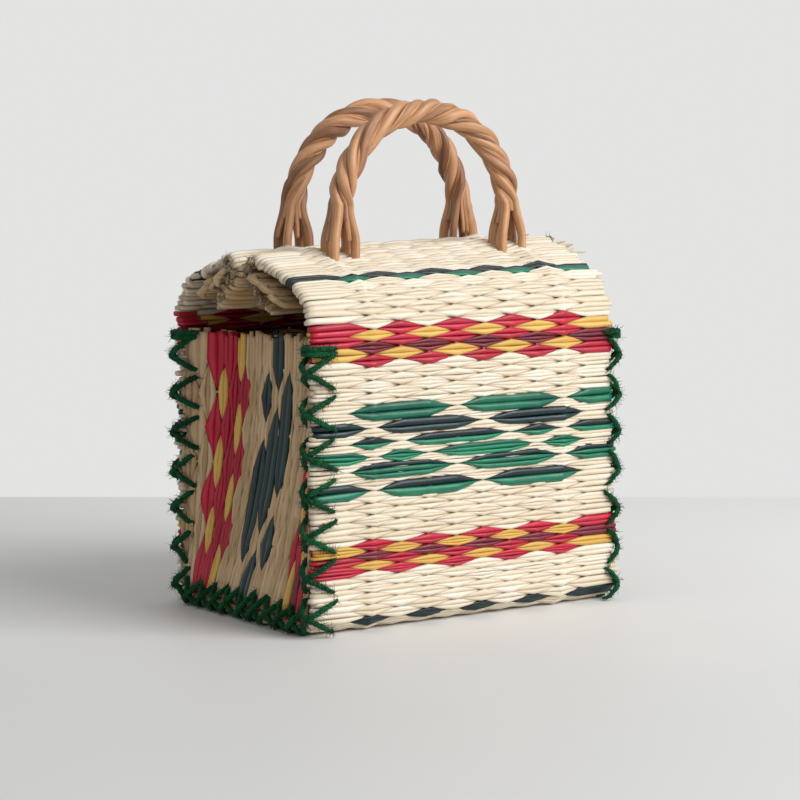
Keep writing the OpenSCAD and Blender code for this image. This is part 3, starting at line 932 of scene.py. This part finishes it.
def knotHem(side, mirror, seed):
    rng = np.random.default_rng(seed)
    reeds, frays = Sheaf(), Sheaf()
    for x, way in zip(hem["ends"], (-1, 1)):
        middle = hemHeight(x)
        for r in hem["loops"]:  # reeds of the roll turn back in nested loops
            for back in hem["hearts"]:
                tip, lean = x + way * rng.uniform(*hem["loopOut"]), rng.normal(0.5, 0.25)
                arm = np.array([0, math.cos(lean), math.sin(lean)]) * r * rng.uniform(0.9, 1.1)
                core = np.array([0, back[0] + rng.normal(0, 0.5), middle + back[1] + rng.normal(0, 0.5)])
                turn = np.linspace(0, math.pi, 9)
                bend = core + np.cos(turn)[:, None] * arm
                bend[:, 0] = tip - way * r * 0.6 * (1 - np.sin(turn))
                lead = np.array([[-way * 20.0, 0, 0], [-way * 8.0, 0, 0]])
                path = np.concatenate([bend[:1] + lead, bend, bend[-1:] + lead[::-1]])
                flat = 1 + 0.22 * np.cos(2 * np.arange(6) * math.pi / 3)
                radii = np.full((len(path), 6), hem["loopR"]) * flat
                # slight painted shade on the hem loops
                reeds.tube(sweepRings(path, radii, (0.1, 0.3, 0.9)), 0, rng.random(), 0.8,
                           np.arange(len(path)) * 0.003, rng.uniform(0, 50, 2))
        for i in range(hem["knots"]):
            at = mat["hemStart"] + 4 + i * (mat["flapLength"] - mat["hemStart"] - 6) / hem["knots"]
            heart = matPlace(np.array([x + way * 0.6]), np.array([-at]), np.array([rng.uniform(-3, -1)]))[0]
            turn = np.linspace(0, 2 * math.pi * 1.3, 9) + rng.uniform(0, 6)
            big = rng.uniform(*hem["knotSize"])
            coil = [way * np.linspace(-1.5, 1.2, 9), big * np.cos(turn), 1.2 * big * np.sin(turn)]
            layYarn(frays, rng, heart + np.stack(coil, -1), hem["knotYarn"])
    for _ in range(hem["strays"]):  # loose stem ends at the right edge
        y, tall = rng.uniform(0.5, 1.0), rng.uniform(*hem["strayLength"])
        start = matPlace(np.array([hem["strayX"]]), np.array([-mat["hemStart"] * y]), np.array([1.5]))[0]
        path = start + np.linspace(0, 1, 5)[:, None] * np.array([tall, rng.normal(0, 2), rng.uniform(0, 3)])
        radii = np.linspace(0.9, 0.35, 5)[:, None] * np.ones(5)
        reeds.tube(sweepRings(path, radii, (0, 1, 0)), 0, rng.random(), 1.0, np.arange(5) * 0.003,
                   rng.uniform(0, 50, 2))
    # the hem reeds take the browner reed, whose darker colour is partly painted shade
    for sheaf, label, finish in ((reeds, "HemReeds", stems["brownShadedReed"]), (frays, "HemKnots", jute)):
        made = sheaf.piece(side + label, [finish], mirror)
        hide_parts(side + "_flap")
        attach(made, side + "_lid")


knotHem("front", None, 81)
knotHem("back", 1, 82)
print("hems knotted")


# stage: pale floor and wall as in the photo, soft key from the right
stage = {
    "edge": 2.067,     # from the eye to the foot of the wall, along the floor
    "reach": 4.0,
    "floorNear": (0.72, 0.72, 0.71),
    "floorFar": (0.90, 0.90, 0.895),
    "wall": (0.77, 0.772, 0.765),
    "key": {"place": (0.82, -1.70, 1.28), "size": 1.5, "power": 47},
    "fill": {"place": (-1.6, -1.5, 1.2), "size": 2.0, "power": 2},
    "ambient": 0.36,
    "aim": (0, 0, 0.12),
}

bpy.ops.object.select_all(action="DESELECT")
bpy.ops.mesh.primitive_plane_add(size=2)
floor = bpy.context.object
floor.name = "floor"
ahead = Vector((target.x - eye.x, target.y - eye.y, 0)).normalized()
aside = Vector((ahead.y, -ahead.x, 0))
far = Vector((eye.x, eye.y, 0)) + ahead * stage["edge"]
near = far - ahead * 2 * stage["reach"]
wide = aside * stage["reach"]
corners = [near - wide, near + wide, far - wide, far + wide]
for vertex, corner in zip(floor.data.vertices, corners):
    vertex.co = corner
floorPaint, tree, wire, shader = newFinish("floorPaint")
body = wire.node("TexCoord", out=3)
haze = wire.node("TexNoise", None, {0: body, 2: 9, 3: 4})
forward = wire.node("VectorMath", {"operation": "DOT_PRODUCT"}, {0: body, 1: tuple(ahead)}, 1)
# painted light: the floor is painted darker near the camera and lighter towards the wall, with a faint mottle
paintedFloorRamp = (forward + 0.12 * haze).between(-0.35, 0.35).mix(rgb(stage["floorNear"]), rgb(stage["floorFar"]))
plug(tree, shader, Base_Color=paintedFloorRamp, Roughness=0.6)
floor.data.materials.append(floorPaint)

# the camera and glossy rays see the pale wall, the rest of the light is weaker
world = bpy.data.worlds.new("studio")
scene.world = world
world.use_nodes = True
tree = world.node_tree
wire = Wire(tree)
seen = wire.maths("MAXIMUM", wire.node("LightPath"), wire.node("LightPath", out=3))
wall = wire.node("Background", None, {0: rgb(stage["wall"]), 1: 1.0})
lit = wire.node("Background", None, {0: rgb((1, 1, 1)), 1: stage["ambient"]})
mixed = wire.node("MixShader", None, {0: seen, 1: lit, 2: wall})
tree.links.new(mixed.socket, tree.nodes["World Output"].inputs[0])

for name in ("key", "fill"):
    plan = stage[name]
    lamp = bpy.data.lights.new(name + "Lamp", "AREA")
    lamp.size, lamp.energy = plan["size"], plan["power"]
    held = bpy.data.objects.new(name + "Lamp", lamp)
    held.location = plan["place"]
    held.rotation_euler = (Vector(stage["aim"]) - held.location).to_track_quat("-Z", "Y").to_euler()
    scene.collection.objects.link(held)
print("stage set")
